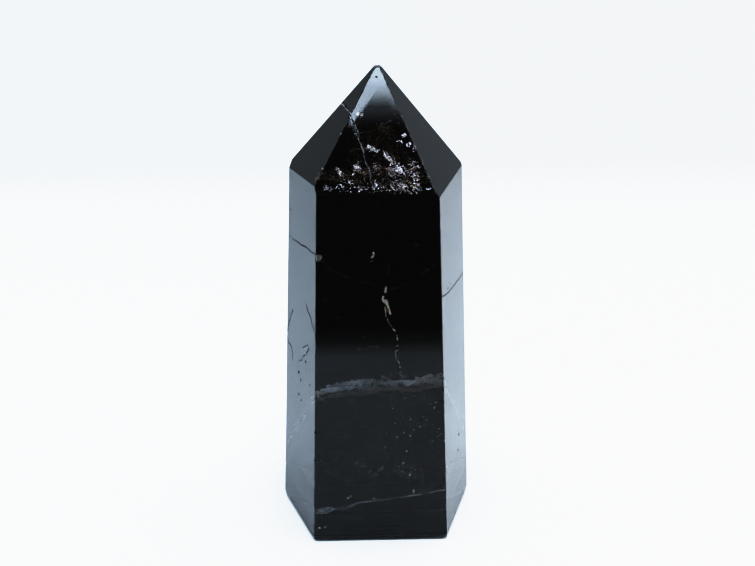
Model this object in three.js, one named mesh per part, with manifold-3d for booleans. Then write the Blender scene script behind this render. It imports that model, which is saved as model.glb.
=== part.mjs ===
// A morion quartz point: one piece of very dark smoky quartz, cut and polished as a six-sided tower
// that tapers a little to its shoulder and ends in a six-sided pointed top.
// Millimetres, +Z up. The base stands on z = 0 with its middle at the origin, and the front, the
// widest side with the long crack in it, looks along -Y.

import * as THREE from "three";
import { mergeVertices } from "three/addons/utils/BufferGeometryUtils.js";
import Module from "manifold-3d";

const wasm = await Module();
wasm.setup();

// Overall size
const HEIGHT = 88;
const SHARP_TIP = new THREE.Vector3(0.3, 1.5, 88.8); // where the top faces would meet if left sharp
const ROUGH_BLOCK = 100; // side of the cube that the crystal is ground out of

// The side faces in order around the crystal. The bearing is in degrees from the front towards +X,
// the reach is from the axis to the face at the base, and the lean is inwards from upright.
const SIDE_FACES = [
  { name: "front", bearing: 0, reach: 16.5, lean: 1.3 },
  { name: "right", bearing: 73, reach: 17.1, lean: 2.3 },
  { name: "backRight", bearing: 107, reach: 17.3, lean: 1.6 },
  { name: "back", bearing: 180, reach: 16.5, lean: 1.4 },
  { name: "backLeft", bearing: -108.4, reach: 17, lean: 2.2 },
  { name: "left", bearing: -70.4, reach: 17.05, lean: 1.6 },
];

// The top faces above them, in the same order. The slope is from the horizontal.
const TOP_FACES = [
  { name: "topFront", bearing: 0, slope: 47.5 },
  { name: "topRight", bearing: 75.3, slope: 53.5 },
  { name: "topBackRight", bearing: 107, slope: 53 },
  { name: "topBack", bearing: 180, slope: 52 },
  { name: "topBackLeft", bearing: -108.6, slope: 51.4 },
  { name: "topLeft", bearing: -76.7, slope: 49.1 },
];

// Polished edges
const EDGE_RADIUS = 0.25;
const TIP_RADIUS = 0.4;
const BASE_RADIUS = 1.2;
const ROUNDING_STEPS = 3;

// Fine cracks that reach the surface. Each is a line of points on a face: millimetres to the right
// of the face's middle, seen from outside, and millimetres above the base.
const CRACK_DEPTH_PER_WIDTH = 0.8;
const CRACKS = [
  { face: "topLeft", width: 0.16, line: [[-2.2, 81.6], [1.5, 81.7], [5.1, 81.4]] },
  { face: "topFront", width: 0.16, line: [[-4.6, 81.4], [-3.7, 79.7], [-2.9, 78.1], [-2.1, 76.3]] },
  { face: "topFront", width: 0.12, line: [[-2.1, 76.3], [-1.5, 74.6], [-0.8, 72.4], [-0.4, 70.9]] },
  { face: "front", width: 0.1, line: [[-0.4, 71], [0.1, 66.9], [0, 62.9], [1, 60.8], [1.9, 58]] },
  { face: "front", width: 0.14, line: [[1.2, 53], [1, 50.6], [1.9, 47.4], [1.7, 46.3], [3, 44.3]] },
  { face: "front", width: 0.12, line: [[3, 44.3], [3.2, 41.6], [3, 39], [3.5, 37], [4.3, 34.9]] },
  { face: "front", width: 0.08, line: [[11, 51.1], [8.1, 49.9], [5.4, 48.4], [2.4, 46.4]] },
  { face: "left", width: 0.18, line: [[-5.3, 56.4], [-2.6, 57.3], [-1.4, 57.2], [0.6, 57.8]] },
  { face: "left", width: 0.22, line: [[0.6, 57.8], [3.4, 58.1], [5.2, 58.8], [8.4, 59.1], [10.7, 59.6]] },
  { face: "left", width: 0.3, line: [[-1.6, 42.8], [-2.6, 41.2], [-4.1, 38.6], [-4.4, 37.3], [-5.2, 35.9]] },
  { face: "left", width: 0.26, line: [[-4.9, 35.9], [-3.6, 34.9], [-2.4, 35], [-1.5, 33.6], [-1.8, 32.6]] },
  { face: "left", width: 0.3, line: [[5.9, 47.6], [6.8, 46.6], [8.3, 46.2], [8.7, 45.4], [10, 44.5]] },
  { face: "left", width: 0.2, line: [[4.3, 38], [5.2, 38.8], [6.9, 39.9], [7.4, 39.3], [6.3, 38.1]] },
  { face: "left", width: 0.18, line: [[6.3, 38.1], [5.4, 36.9], [4.2, 36.3], [3.8, 35.1], [2.2, 34.2]] },
  { face: "right", width: 0.24, line: [[-12, 51.2], [-6.9, 49.6], [-1.3, 48.6], [7.2, 47.5]] },
];

// Small open pits in the faces, placed in the same way
const PITS = [
  { face: "topFront", at: [0, 86.7], radius: 0.22 },
  { face: "left", at: [2, 31.7], radius: 0.32 },
  { face: "left", at: [3.1, 30.6], radius: 0.26 },
  { face: "left", at: [5.8, 35.8], radius: 0.3 },
  { face: "left", at: [2.1, 27], radius: 0.34 },
  { face: "left", at: [3.4, 26.4], radius: 0.26 },
  { face: "left", at: [8.1, 32.2], radius: 0.28 },
  { face: "left", at: [-3.2, 62.4], radius: 0.24 },
  { face: "right", at: [-6.6, 50.4], radius: 0.26 },
  { face: "right", at: [-4.9, 50.6], radius: 0.22 },
  { face: "right", at: [-0.5, 16.3], radius: 0.36 },
  { face: "right", at: [-1.6, 13.4], radius: 0.36 },
];

// Shell-shaped chips out of the edges: how far the chip bites in, and the radius of its hollow
const CHIPS = [
  { edge: ["front", "left"], height: 58.7, radius: 1, bite: 0.32 },
  { edge: ["front", "left"], height: 65.2, radius: 0.7, bite: 0.18 },
  { edge: ["topFront", "topRight"], height: 85.5, radius: 0.6, bite: 0.22 },
  { edge: ["topLeft", "topBackLeft"], height: 81.6, radius: 0.9, bite: 0.3 },
];

// Tiny nicks along the edges that stand most in the way
const NICK_SIZE = [0.16, 0.4];
const NICKED_EDGES = [
  { edge: ["front", "right"], from: 4, to: 68, count: 34 },
  { edge: ["front", "left"], from: 16, to: 68, count: 8 },
  { edge: ["topFront", "topRight"], from: 72, to: 86, count: 5 },
  { edge: ["topFront", "topLeft"], from: 72, to: 86, count: 5 },
];

// Turns a closed geometry into a solid that can be joined and cut
function toSolid(geometry) {
  const bare = geometry.clone();
  bare.deleteAttribute("normal");
  bare.deleteAttribute("uv");
  const merged = mergeVertices(bare.index ? bare.toNonIndexed() : bare, 1e-5);
  const mesh = new wasm.Mesh({
    numProp: 3,
    vertProperties: new Float32Array(merged.attributes.position.array),
    triVerts: new Uint32Array(merged.index.array),
  });
  return new wasm.Manifold(mesh);
}

// Turns a solid back into a geometry with flat faces
function toGeometry(solid) {
  const mesh = solid.getMesh();
  const geometry = new THREE.BufferGeometry();
  geometry.setAttribute("position", new THREE.BufferAttribute(mesh.vertProperties, 3));
  geometry.setIndex(new THREE.BufferAttribute(mesh.triVerts, 1));
  const flat = geometry.toNonIndexed();
  flat.computeVertexNormals();
  return flat;
}

// A flat face with that bearing and slope through a point, its normal pointing out of the crystal
function facePlane(bearing, slope, through) {
  const turn = THREE.MathUtils.degToRad(bearing);
  const rise = THREE.MathUtils.degToRad(slope);
  const normal = new THREE.Vector3(
    Math.sin(turn) * Math.sin(rise),
    -Math.cos(turn) * Math.sin(rise),
    Math.cos(rise),
  );
  return new THREE.Plane().setFromNormalAndCoplanarPoint(normal, through);
}

// All the flat faces by name
function makeFaces() {
  const faces = new Map();
  for (const { name, bearing, reach, lean } of SIDE_FACES) {
    const turn = THREE.MathUtils.degToRad(bearing);
    const foot = new THREE.Vector3(Math.sin(turn), -Math.cos(turn), 0).multiplyScalar(reach);
    faces.set(name, facePlane(bearing, 90 - lean, foot));
  }
  for (const { name, bearing, slope } of TOP_FACES) {
    faces.set(name, facePlane(bearing, slope, SHARP_TIP));
  }
  faces.set("base", new THREE.Plane(new THREE.Vector3(0, 0, -1), 0));
  faces.set("tip", new THREE.Plane(new THREE.Vector3(0, 0, 1), -HEIGHT));
  return faces;
}

const faces = makeFaces();

// The point where two faces meet at a height above the base
function edgePoint(first, second, height) {
  const a = faces.get(first);
  const b = faces.get(second);
  const rows = new THREE.Matrix3().set(...a.normal.toArray(), ...b.normal.toArray(), 0, 0, 1);
  return new THREE.Vector3(-a.constant, -b.constant, height).applyMatrix3(rows.invert());
}

// The point on a face that far to the right of its middle and that far above the base
function facePoint(name, [across, height]) {
  const { normal, constant } = faces.get(name);
  const outward = new THREE.Vector3(normal.x, normal.y, 0).normalize();
  const toTheRight = new THREE.Vector3(-outward.y, outward.x, 0);
  const setback = (-constant - normal.z * height) / Math.hypot(normal.x, normal.y);
  return outward.multiplyScalar(setback).addScaledVector(toTheRight, across).setZ(height);
}

// Grinds away all of the solid that lies outside a plane
function grind(solid, plane) {
  const waste = new THREE.BoxGeometry(ROUGH_BLOCK * 2, ROUGH_BLOCK * 2, ROUGH_BLOCK * 2);
  waste.translate(0, 0, ROUGH_BLOCK);
  const up = new THREE.Vector3(0, 0, 1);
  waste.applyQuaternion(new THREE.Quaternion().setFromUnitVectors(up, plane.normal));
  waste.translate(...plane.normal.clone().multiplyScalar(-plane.constant).toArray());
  return solid.subtract(toSolid(waste));
}

// The planes that round off the edge between two faces. Each one touches a rod of that radius that
// lies along the edge, inside both faces.
function roundingPlanes(first, second, radius) {
  const a = faces.get(first);
  const b = faces.get(second);
  const planes = [];
  for (let step = 1; step <= ROUNDING_STEPS; step++) {
    const share = step / (ROUNDING_STEPS + 1);
    const normal = a.normal.clone().lerp(b.normal, share);
    const length = normal.length();
    const rodA = -a.constant - radius;
    const rodB = -b.constant - radius;
    const distance = ((1 - share) * rodA + share * rodB) / length + radius;
    planes.push(new THREE.Plane(normal.divideScalar(length), -distance));
  }
  return planes;
}

// The pairs of faces that meet in an edge, each with the radius of that edge
function edgeList() {
  const edges = [];
  const count = SIDE_FACES.length;
  for (let i = 0; i < count; i++) {
    const side = SIDE_FACES[i].name;
    const top = TOP_FACES[i].name;
    const nextSide = SIDE_FACES[(i + 1) % count].name;
    const nextTop = TOP_FACES[(i + 1) % count].name;
    edges.push([side, nextSide, EDGE_RADIUS]);
    edges.push([side, top, EDGE_RADIUS]);
    edges.push([top, nextTop, EDGE_RADIUS]);
    edges.push([top, nextSide, EDGE_RADIUS]);
    edges.push([side, nextTop, EDGE_RADIUS]);
    edges.push([side, "base", BASE_RADIUS]);
    edges.push([top, "tip", TIP_RADIUS]);
  }
  return edges;
}

// The polished crystal before any damage: the flat faces, then the rounded edges
function makePoint() {
  const block = new THREE.BoxGeometry(ROUGH_BLOCK, ROUGH_BLOCK, ROUGH_BLOCK);
  block.translate(0, 0, ROUGH_BLOCK / 2);
  let point = toSolid(block);
  for (const plane of faces.values()) {
    point = grind(point, plane);
  }
  for (const [first, second, radius] of edgeList()) {
    for (const plane of roundingPlanes(first, second, radius)) {
      point = grind(point, plane);
    }
  }
  return point;
}

// One straight length of a crack: a thin bar with a sharp edge turned into the face
function crackBar(normal, start, end, width) {
  const along = end.clone().sub(start);
  const half = width / 2;
  const bar = new THREE.CylinderGeometry(half, half, along.length() + width, 4, 1);
  bar.scale(2 * CRACK_DEPTH_PER_WIDTH, 1, 1);
  along.normalize();
  const side = normal.clone().cross(along);
  bar.applyMatrix4(new THREE.Matrix4().makeBasis(normal, along, side));
  bar.translate(...start.clone().lerp(end, 0.5).toArray());
  return toSolid(bar);
}

function cutCracks(solid) {
  for (const { face, width, line } of CRACKS) {
    const points = line.map((place) => facePoint(face, place));
    for (let i = 1; i < points.length; i++) {
      solid = solid.subtract(crackBar(faces.get(face).normal, points[i - 1], points[i], width));
    }
  }
  return solid;
}

function cutPits(solid) {
  for (const { face, at, radius } of PITS) {
    const pit = new THREE.IcosahedronGeometry(radius, 1);
    pit.translate(...facePoint(face, at).toArray());
    solid = solid.subtract(toSolid(pit));
  }
  return solid;
}

function cutChips(solid) {
  for (const { edge, height, radius, bite } of CHIPS) {
    const outward = faces.get(edge[0]).normal.clone().add(faces.get(edge[1]).normal).normalize();
    const centre = edgePoint(...edge, height).addScaledVector(outward, radius - bite);
    const hollow = new THREE.IcosahedronGeometry(radius, 2).translate(...centre.toArray());
    solid = solid.subtract(toSolid(hollow));
  }
  return solid;
}

// The nicks stand at uneven heights and are turned differently, all from one fixed sequence
function cutNicks(solid) {
  const random = (n) => THREE.MathUtils.seededRandom(n);
  let seed = 1;
  for (const { edge, from, to, count } of NICKED_EDGES) {
    for (let i = 0; i < count; i++) {
      const height = THREE.MathUtils.lerp(from, to, (i + random(seed)) / count);
      const size = THREE.MathUtils.lerp(...NICK_SIZE, random(seed + 1));
      const turn = Math.PI * random(seed + 2);
      const nick = new THREE.IcosahedronGeometry(size, 0).rotateX(turn).rotateZ(2 * turn);
      nick.translate(...edgePoint(...edge, height).toArray());
      solid = solid.subtract(toSolid(nick));
      seed += 3;
    }
  }
  return solid;
}

const material = new THREE.MeshStandardMaterial({
  name: "morion_quartz",
  color: 0x0b0a0b,
  roughness: 0.05,
  metalness: 0,
});

const point = cutNicks(cutChips(cutPits(cutCracks(makePoint()))));
const crystal = new THREE.Mesh(toGeometry(point), material);
crystal.name = "quartz_point";

const group = new THREE.Group();
group.name = "morion_quartz_point";
group.add(crystal);

export default group;
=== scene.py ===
"""The looks of a morion quartz point: the dark see-through quartz of the crystal itself, the veils,
cracks and glinting flakes inside it, and a plain pale stage to see it on. Lengths are in metres."""

import math

import bmesh
import bpy
from bpy.props import (
    FloatProperty,
    FloatVectorProperty,
    IntProperty,
    PointerProperty,
)
from mathutils import Matrix, Vector, noise


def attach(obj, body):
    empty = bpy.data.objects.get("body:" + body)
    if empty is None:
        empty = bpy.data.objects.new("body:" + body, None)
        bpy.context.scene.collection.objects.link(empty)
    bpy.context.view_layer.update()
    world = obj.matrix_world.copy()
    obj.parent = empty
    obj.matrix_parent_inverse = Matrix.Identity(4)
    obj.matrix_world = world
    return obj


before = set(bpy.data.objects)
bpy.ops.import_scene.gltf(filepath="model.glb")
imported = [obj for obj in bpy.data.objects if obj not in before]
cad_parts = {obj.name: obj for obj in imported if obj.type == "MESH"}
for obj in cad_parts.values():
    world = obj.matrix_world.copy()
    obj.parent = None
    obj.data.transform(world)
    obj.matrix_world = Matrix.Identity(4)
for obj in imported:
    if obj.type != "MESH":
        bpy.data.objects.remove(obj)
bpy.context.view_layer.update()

bl_info = {
    "name": "Morion Quartz Point",
    "version": (1, 0, 0),
    "blender": (4, 5, 0),
    "location": "3D View > Sidebar > Quartz Point",
    "description": "Dresses a polished point of dark smoky quartz and sets it on a pale stage",
    "category": "Object",
}

MM = 0.001
CRYSTAL_NODE = "quartz_point"

# How flakes under a face lean, added to the face's normal, so that many of them mirror the overhead panel
UNDER_FRONT = (0.0, 0.0, 0.5)
UNDER_TOP = (0.0, 0.0, 0.09)

# The compass bearings of the crystal's faces in degrees, from the front towards +X
FACE_BEARINGS = {
    "front": 0,
    "right": 72,
    "back_right": 108,
    "back": 180,
    "back_left": -108,
    "left": -72,
}


# Places in the crystal

class CrystalFaces:
    """The big flat faces of the crystal, read from its mesh, and places on and under them."""

    SMALLEST_AREA = 60 * MM * MM

    def __init__(self, node):
        self.planes = {}
        groups = {}
        for polygon in node.data.polygons:
            key = tuple(round(component, 2) for component in polygon.normal)
            area, middle, normal = groups.get(key, (0.0, Vector(), Vector()))
            groups[key] = (
                area + polygon.area,
                middle + polygon.center * polygon.area,
                normal + polygon.normal * polygon.area,
            )
        for area, middle, normal in groups.values():
            if area > self.SMALLEST_AREA:
                self.planes[self.face_name(normal.normalized())] = (normal.normalized(), middle / area)
        missing = {"front", "left", "right", "top_front", "top_left", "base"} - set(self.planes)
        if missing:
            raise RuntimeError(f"the crystal has no face named {sorted(missing)}")

    @staticmethod
    def face_name(normal):
        if normal.z < -0.9:
            return "base"
        bearing = math.degrees(math.atan2(normal.x, -normal.y))
        turned = {name: abs((bearing - b + 180) % 360 - 180) for name, b in FACE_BEARINGS.items()}
        name = min(turned, key=turned.get)
        return "top_" + name if normal.z > 0.3 else name

    def place(self, face, across, height, depth=0.0):
        """The point that far to the right of the face's middle line, seen from outside, that far above the
        base and that far under the face, all in millimetres."""
        normal, middle = self.planes[face]
        level = Vector((normal.x, normal.y, 0)).normalized()
        to_the_right = Vector((-level.y, level.x, 0))
        setback = (normal.dot(middle) - normal.z * height * MM) / Vector((normal.x, normal.y)).length
        point = level * setback + to_the_right * across * MM + Vector((0, 0, height * MM))
        return point - normal * depth * MM

    def depth(self, face, point):
        """How far a point lies under a face, in millimetres."""
        normal, middle = self.planes[face]
        return normal.dot(middle - point) / MM

    def inside(self, point, margin):
        """Whether a point lies inside every face by that margin in millimetres."""
        return all(self.depth(face, point) > margin for face in self.planes)


# Sheets that the flakes are scattered on

# A fracture sheet's half width, its cells along each side, and the size of its waves in millimetres
SHEET_REACH = 32 * MM
SHEET_CELLS = 90
SHEET_WAVES = 6.0
# Millimetres between the rows of a crack's strip
STRIP_STEP = 0.25
# How little a cluster's flakes may lie under their face, in millimetres
CLUSTER_COVER = 0.15


def wander(point, strength, scale, seed):
    """A smooth uneven offset in millimetres, the same each time, for a place in metres."""
    place = point / MM / scale + Vector((seed * 7.3, seed * 3.1, seed * 1.7))
    return strength * noise.noise(place)


def fracture_sheet(faces, point, normal, waviness, seed, near, seen, apart=(), clear=0.0, margin=0.06):
    """An uneven plane through the crystal, cut off just under its faces. Only what lies no deeper than seen
    under one of the faces named in near is kept, because nothing deeper shows through the dark quartz. It
    also stays clear of the faces named in apart."""
    sheet = bmesh.new()
    bmesh.ops.create_grid(sheet, x_segments=SHEET_CELLS, y_segments=SHEET_CELLS, size=SHEET_REACH)
    turn = Vector((0, 0, 1)).rotation_difference(normal).to_matrix().to_4x4()
    bmesh.ops.transform(sheet, verts=sheet.verts, matrix=Matrix.Translation(point) @ turn)
    for vert in sheet.verts:
        vert.co += normal * wander(vert.co, waviness, SHEET_WAVES, seed) * MM
    for face_normal, middle in faces.planes.values():
        everything = list(sheet.verts) + list(sheet.edges) + list(sheet.faces)
        bmesh.ops.bisect_plane(
            sheet,
            geom=everything,
            plane_co=middle - face_normal * margin * MM,
            plane_no=face_normal,
            clear_outer=True,
        )
    left_out = []
    for cell in sheet.faces:
        middle = cell.calc_center_median()
        too_deep = min(faces.depth(face, middle) for face in near) > seen
        if too_deep or any(faces.depth(face, middle) < clear for face in apart):
            left_out.append(cell)
    bmesh.ops.delete(sheet, geom=left_out, context="FACES")
    return sheet


def crack_strip(faces, face, line, width, depth, seed, jitter=0.15):
    """A narrow uneven strip that lies under a face along a crack's line, which is in millimetres across the
    face and above the base."""
    strip = bmesh.new()
    places = []
    for (a0, h0), (a1, h1) in zip(line, line[1:]):
        count = max(1, round(math.hypot(a1 - a0, h1 - h0) / STRIP_STEP))
        places += [(a0 + (a1 - a0) * i / count, h0 + (h1 - h0) * i / count) for i in range(count)]
    places.append(line[-1])
    rows = []
    for i, (across, height) in enumerate(places):
        before = places[max(0, i - 1)]
        after = places[min(len(places) - 1, i + 1)]
        along = Vector((after[0] - before[0], after[1] - before[1])).normalized()
        spot = Vector((across, height, seed * 3.7))
        shift = jitter * noise.noise(spot * 1.3)
        half = 0.5 * width * (1 + 0.7 * noise.noise(spot * 2.1))
        row = []
        for side in (shift - half, shift + half):
            edge = faces.place(face, across - along.y * side, height + along.x * side, depth)
            row.append(strip.verts.new(edge))
        rows.append(row)
    for first, second in zip(rows, rows[1:]):
        strip.faces.new((first[0], second[0], second[1], first[1]))
    return strip


def cluster_patch(faces, face, middle, size, depth, seed, rings=5, spokes=14):
    """An uneven oval patch that lies under a face, for a cluster of flakes."""
    patch = bmesh.new()
    across, height = middle

    def spot(share, turn, push, depth):
        return faces.place(
            face,
            across + size[0] * share * push * math.cos(turn),
            height + size[1] * share * push * math.sin(turn),
            depth,
        )

    def uneven_depth(point):
        return depth + wander(point, 0.12 * depth, 1.6, seed + 1)

    even = faces.place(face, across, height, depth)
    centre = patch.verts.new(faces.place(face, across, height, uneven_depth(even)))
    last = None
    for ring in range(1, rings + 1):
        share = ring / rings
        row = []
        for spoke in range(spokes):
            turn = 2 * math.pi * spoke / spokes
            point = spot(share, turn, 1, depth)
            push = 1 + wander(point, 0.8, 1.5, seed)
            place = spot(share, turn, push, max(CLUSTER_COVER, uneven_depth(point)))
            row.append(patch.verts.new(place))
        for spoke in range(spokes):
            after = (spoke + 1) % spokes
            if last is None:
                patch.faces.new((centre, row[spoke], row[after]))
            else:
                patch.faces.new((last[spoke], row[spoke], row[after], last[after]))
        last = row
    return patch


# Nodes

def feed(tree, plug, value):
    """Links another socket to a plug, or sets the plug to a plain value."""
    if isinstance(value, bpy.types.NodeSocket):
        tree.links.new(value, plug)
    else:
        plug.default_value = value


def calculate(tree, operation, first, second=0.0):
    """The result of a math node."""
    node = tree.nodes.new("ShaderNodeMath")
    node.operation = operation
    feed(tree, node.inputs[0], first)
    feed(tree, node.inputs[1], second)
    return node.outputs[0]


def times(tree, first, second):
    """One number times another."""
    return calculate(tree, "MULTIPLY", first, second)


def calculate_vector(tree, operation, first, second):
    """The result of a vector math node."""
    node = tree.nodes.new("ShaderNodeVectorMath")
    node.operation = operation
    feed(tree, node.inputs[0], first)
    feed(tree, node.inputs["Scale" if operation == "SCALE" else 1], second)
    return node.outputs["Vector"]


def fade(tree, value, start, end, low=0.0, high=1.0, curve="SMOOTHSTEP"):
    """A number that goes from low to high while the value goes from start to end."""
    node = tree.nodes.new("ShaderNodeMapRange")
    node.interpolation_type = curve
    amounts = {"Value": value, "From Min": start, "From Max": end, "To Min": low, "To Max": high}
    for name, amount in amounts.items():
        feed(tree, node.inputs[name], amount)
    return node.outputs["Result"]


def ramp(tree, value, stops, curve="LINEAR"):
    """The colour that a value has on a ramp of (position, colour) stops."""
    node = tree.nodes.new("ShaderNodeValToRGB")
    node.color_ramp.interpolation = curve
    elements = node.color_ramp.elements
    elements.remove(elements[1])
    elements[0].position = stops[0][0]
    elements[0].color = (*stops[0][1], 1.0)
    for position, colour in stops[1:]:
        elements.new(position).color = (*colour, 1.0)
    tree.links.new(value, node.inputs["Fac"])
    return node.outputs["Color"]


def blend(tree, share, first, second):
    """A colour that goes from the first to the second with the share."""
    node = tree.nodes.new("ShaderNodeMix")
    node.data_type = "RGBA"
    node.inputs["A"].default_value = (*first, 1.0)
    node.inputs["B"].default_value = (*second, 1.0)
    tree.links.new(share, node.inputs["Factor"])
    return node.outputs["Result"]


def speckle(tree, place, scale, detail=2.0):
    """The value of a noise texture at a place."""
    node = tree.nodes.new("ShaderNodeTexNoise")
    node.inputs["Scale"].default_value = scale
    node.inputs["Detail"].default_value = detail
    tree.links.new(place, node.inputs["Vector"])
    return node.outputs["Fac"]


def split(tree, vector):
    """The three parts of a vector."""
    node = tree.nodes.new("ShaderNodeSeparateXYZ")
    tree.links.new(vector, node.inputs[0])
    return node.outputs


def grey(amount):
    return (amount, amount, amount)


# The tree that scatters flakes

FLAKE_INPUTS = (
    ("Density", "NodeSocketFloat", 1e6),  # flakes per square metre where they lie thickest
    ("Flake size", "NodeSocketFloat", 0.0001),
    ("Flake sides", "NodeSocketInt", 5),
    ("Smallest share", "NodeSocketFloat", 0.4),
    ("Tilt", "NodeSocketFloat", 0.4),
    ("Lean", "NodeSocketVector", (0.0, 0.0, 0.0)),
    ("Pattern scale", "NodeSocketFloat", 300.0),
    ("Pattern stretch", "NodeSocketVector", (1.0, 1.0, 1.0)),
    ("Pattern cut", "NodeSocketFloat", 0.45),
    ("Pattern softness", "NodeSocketFloat", 0.15),
    ("Seed", "NodeSocketInt", 0),
)
FLAKE_BULGE = 0.14
SLIMMEST_FLAKE = 0.35


def random_value(tree, kind, low, high, seed):
    """A random value for each flake."""
    node = tree.nodes.new("FunctionNodeRandomValue")
    node.data_type = kind
    feed(tree, node.inputs["Min"], low)
    feed(tree, node.inputs["Max"], high)
    tree.links.new(seed, node.inputs["Seed"])
    return node.outputs["Value"]


def scatter_tree():
    """Scatters thin flakes over a sheet, thickly where an uneven pattern is strong and not where it is
    weak."""
    tree = bpy.data.node_groups.new("Scatter flakes", "GeometryNodeTree")
    tree.interface.new_socket(name="Sheet", in_out="INPUT", socket_type="NodeSocketGeometry")
    for name, kind, default in FLAKE_INPUTS:
        tree.interface.new_socket(name=name, in_out="INPUT", socket_type=kind).default_value = default
    tree.interface.new_socket(name="Flake material", in_out="INPUT", socket_type="NodeSocketMaterial")
    tree.interface.new_socket(name="Flakes", in_out="OUTPUT", socket_type="NodeSocketGeometry")
    nodes = tree.nodes
    link = tree.links.new
    inputs = nodes.new("NodeGroupInput").outputs
    seed = inputs["Seed"]

    # Where the flakes lie
    position = nodes.new("GeometryNodeInputPosition").outputs["Position"]
    pattern = nodes.new("ShaderNodeTexNoise")
    pattern.noise_dimensions = "4D"
    pattern.inputs["Detail"].default_value = 4.0
    pattern.inputs["Distortion"].default_value = 1.2
    link(calculate_vector(tree, "MULTIPLY", position, inputs["Pattern stretch"]), pattern.inputs["Vector"])
    link(inputs["Pattern scale"], pattern.inputs["Scale"])
    link(seed, pattern.inputs["W"])
    full = calculate(tree, "ADD", inputs["Pattern cut"], inputs["Pattern softness"])
    strength = fade(tree, pattern.outputs["Fac"], inputs["Pattern cut"], full)
    points = nodes.new("GeometryNodeDistributePointsOnFaces")
    link(inputs["Sheet"], points.inputs["Mesh"])
    link(times(tree, strength, inputs["Density"]), points.inputs["Density"])
    link(seed, points.inputs["Seed"])

    # How each flake is turned
    backwards = times(tree, inputs["Tilt"], -1.0)
    low = nodes.new("ShaderNodeCombineXYZ")
    high = nodes.new("ShaderNodeCombineXYZ")
    for axis in (0, 1):
        link(backwards, low.inputs[axis])
        link(inputs["Tilt"], high.inputs[axis])
    low.inputs[2].default_value = -math.pi
    high.inputs[2].default_value = math.pi
    lying = nodes.new("FunctionNodeAlignRotationToVector")
    lying.axis = "Z"
    link(calculate_vector(tree, "ADD", points.outputs["Normal"], inputs["Lean"]), lying.inputs["Vector"])
    rotation = nodes.new("FunctionNodeRotateRotation")
    rotation.rotation_space = "LOCAL"
    link(lying.outputs["Rotation"], rotation.inputs["Rotation"])
    turn = random_value(tree, "FLOAT_VECTOR", low.outputs[0], high.outputs[0], seed)
    link(turn, rotation.inputs["Rotate By"])

    # How large and how slim each flake is
    share = random_value(tree, "FLOAT", inputs["Smallest share"], 1.0, seed)
    size = times(tree, share, inputs["Flake size"])
    slimness = random_value(tree, "FLOAT_VECTOR", (1.0, SLIMMEST_FLAKE, 1.0), (1.0, 1.0, 1.0), seed)

    flake = nodes.new("GeometryNodeMeshCone")
    link(inputs["Flake sides"], flake.inputs["Vertices"])
    flake.inputs["Radius Top"].default_value = 0.0
    flake.inputs["Radius Bottom"].default_value = 1.0
    flake.inputs["Depth"].default_value = FLAKE_BULGE
    instances = nodes.new("GeometryNodeInstanceOnPoints")
    link(points.outputs["Points"], instances.inputs["Points"])
    link(flake.outputs["Mesh"], instances.inputs["Instance"])
    link(rotation.outputs["Rotation"], instances.inputs["Rotation"])
    link(calculate_vector(tree, "SCALE", slimness, size), instances.inputs["Scale"])
    realize = nodes.new("GeometryNodeRealizeInstances")
    link(instances.outputs["Instances"], realize.inputs["Geometry"])
    finish = nodes.new("GeometryNodeSetMaterial")
    link(realize.outputs["Geometry"], finish.inputs["Geometry"])
    link(inputs["Flake material"], finish.inputs["Material"])
    link(finish.outputs["Geometry"], nodes.new("NodeGroupOutput").inputs["Flakes"])
    return tree


def scatter(
    sheets, name, material, faces, density, size, tilt, pattern, seed,
    sides=5, smallest=0.4, lean=(0.0, 0.0, 0.0), stretch=(1.0, 1.0, 1.0),
):
    """Makes a piece of flakes on the given sheets, each a bmesh that is freed, and lets it ride the crystal.
    The pattern is its scale, its cut and its softness."""
    tree = bpy.data.node_groups.get("Scatter flakes") or scatter_tree()
    mesh = bpy.data.meshes.new(name + "_sheet")
    joined = bmesh.new()
    for sheet in sheets:
        part = bpy.data.meshes.new("part")
        sheet.to_mesh(part)
        sheet.free()
        joined.from_mesh(part)
        bpy.data.meshes.remove(part)
    joined.to_mesh(mesh)
    joined.free()
    base = bpy.data.objects.new(name + "_sheet", mesh)
    bpy.context.scene.collection.objects.link(base)
    modifier = base.modifiers.new("Scatter flakes", "NODES")
    modifier.node_group = tree
    values = {
        "Density": density,
        "Flake size": size,
        "Flake sides": sides,
        "Smallest share": smallest,
        "Tilt": tilt,
        "Lean": lean,
        "Pattern scale": pattern[0],
        "Pattern stretch": stretch,
        "Pattern cut": pattern[1],
        "Pattern softness": pattern[2],
        "Seed": seed,
        "Flake material": material,
    }
    for item in tree.interface.items_tree:
        if item.name in values:
            modifier[item.identifier] = values[item.name]
    depsgraph = bpy.context.evaluated_depsgraph_get()
    flakes = bpy.data.meshes.new_from_object(base.evaluated_get(depsgraph))
    base.modifiers.remove(modifier)
    bpy.data.objects.remove(base)
    bpy.data.meshes.remove(mesh)
    keep_inside(flakes, faces)
    if not flakes.polygons:
        raise RuntimeError(f"{name} has no flakes")
    flakes.name = name
    piece = bpy.data.objects.new(name, flakes)
    bpy.context.scene.collection.objects.link(piece)
    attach(piece, "root")


def keep_inside(flakes, faces, margin=0.03):
    """Takes out every flake that would stick out of the crystal."""
    shape = bmesh.new()
    shape.from_mesh(flakes)
    outside = {v for v in shape.verts if not faces.inside(v.co, margin)}
    reached = set()
    waiting = list(outside)
    while waiting:
        vert = waiting.pop()
        if vert in reached:
            continue
        reached.add(vert)
        waiting += [edge.other_vert(vert) for edge in vert.link_edges]
    bmesh.ops.delete(shape, geom=list(reached), context="VERTS")
    shape.to_mesh(flakes)
    shape.free()


# Materials

# How far below the shoulder the relief of the polishing marks fades
MARK_FADE = 3 * MM


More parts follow.
